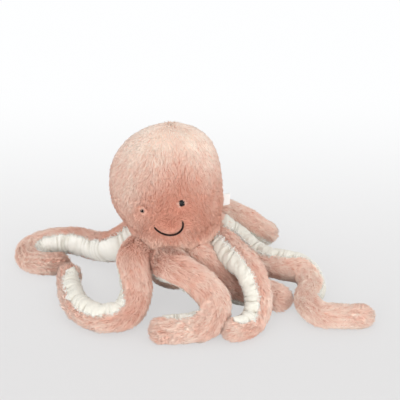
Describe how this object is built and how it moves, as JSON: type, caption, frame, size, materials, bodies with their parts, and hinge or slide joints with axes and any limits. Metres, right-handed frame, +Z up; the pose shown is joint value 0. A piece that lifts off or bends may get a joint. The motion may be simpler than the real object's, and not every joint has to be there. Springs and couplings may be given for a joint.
{
  "type": "plush octopus",
  "caption": "Soft toy octopus with a tall rounded furry head, bead eyes, a stitched smile and long curling arms with pale ruched undersides.",
  "frame": {"origin": "centre of the flat underside of the base panel, on the table", "axes": "+Z up, -Y the way the face looks, +X to the right of a viewer who faces it; the longest extent, over the spread arms, runs along X"},
  "size_m": [0.532, 0.3455, 0.249],
  "materials": {
    "peach_fur": "short dense pile",
    "cream_cloth": "matte, ruched",
    "white_fibre": "loose fibre",
    "pellet_canvas": "woven",
    "black_bead": "polished",
    "washer_plastic": "moulded",
    "brown_thread": "satin stitch",
    "white_ribbon": "woven ribbon"
  },
  "bodies": {
    "body": {"body_front_panel": "peach_fur", "body_back_panel": "peach_fur", "body_filling": "white_fibre", "pellet_bag": "pellet_canvas", "base_panel": "cream_cloth", "eye_left": "black_bead", "eye_right": "black_bead", "eye_washer_left": "washer_plastic", "eye_washer_right": "washer_plastic", "mouth_stitch": "brown_thread", "ribbon_label": "white_ribbon"},
    "arm_front": {"arm_front_sleeve": "peach_fur", "arm_front_underside": "cream_cloth", "arm_front_filling": "white_fibre"},
    "arm_front_right": {"arm_front_right_sleeve": "peach_fur", "arm_front_right_underside": "cream_cloth", "arm_front_right_filling": "white_fibre"},
    "arm_right": {"arm_right_sleeve": "peach_fur", "arm_right_underside": "cream_cloth", "arm_right_filling": "white_fibre"},
    "arm_right_rear": {"arm_right_rear_sleeve": "peach_fur", "arm_right_rear_underside": "cream_cloth", "arm_right_rear_filling": "white_fibre"},
    "arm_rear": {"arm_rear_sleeve": "peach_fur", "arm_rear_underside": "cream_cloth", "arm_rear_filling": "white_fibre"},
    "arm_left_rear": {"arm_left_rear_sleeve": "peach_fur", "arm_left_rear_underside": "cream_cloth", "arm_left_rear_filling": "white_fibre"},
    "arm_left": {"arm_left_sleeve": "peach_fur", "arm_left_underside": "cream_cloth", "arm_left_filling": "white_fibre"},
    "arm_front_left": {"arm_front_left_sleeve": "peach_fur", "arm_front_left_underside": "cream_cloth", "arm_front_left_filling": "white_fibre"}
  },
  "joints": [
    {"name": "arm_front_lift", "type": "hinge", "parent": "body", "child": "arm_front", "pos_m": [-0.01605, -0.05989, 0.061], "axis": [-0.9659, 0.2588, 0], "range_deg": [0, 10]},
    {"name": "arm_front_right_swing", "type": "hinge", "parent": "body", "child": "arm_front_right", "pos_m": [0.031, -0.05369, 0.061], "axis": [0, 0, 1], "range_deg": [-10, 3]},
    {"name": "arm_right_lift", "type": "hinge", "parent": "body", "child": "arm_right", "pos_m": [0.05989, -0.01605, 0.061], "axis": [-0.2588, -0.9659, 0], "range_deg": [0, 18]},
    {"name": "arm_right_rear_lift", "type": "hinge", "parent": "body", "child": "arm_right_rear", "pos_m": [0.05369, 0.031, 0.061], "axis": [0.5, -0.866, 0], "range_deg": [0, 11]},
    {"name": "arm_rear_lift", "type": "hinge", "parent": "body", "child": "arm_rear", "pos_m": [0.01605, 0.05989, 0.061], "axis": [0.9659, -0.2588, 0], "range_deg": [0, 20]},
    {"name": "arm_left_rear_lift", "type": "hinge", "parent": "body", "child": "arm_left_rear", "pos_m": [-0.031, 0.05369, 0.061], "axis": [0.866, 0.5, 0], "range_deg": [0, 25]},
    {"name": "arm_left_lift", "type": "hinge", "parent": "body", "child": "arm_left", "pos_m": [-0.05989, 0.01605, 0.061], "axis": [0.2588, 0.9659, 0], "range_deg": [0, 25]},
    {"name": "arm_front_left_lift", "type": "hinge", "parent": "body", "child": "arm_front_left", "pos_m": [-0.05369, -0.031, 0.061], "axis": [-0.5, 0.866, 0], "range_deg": [0, 10]}
  ]
}
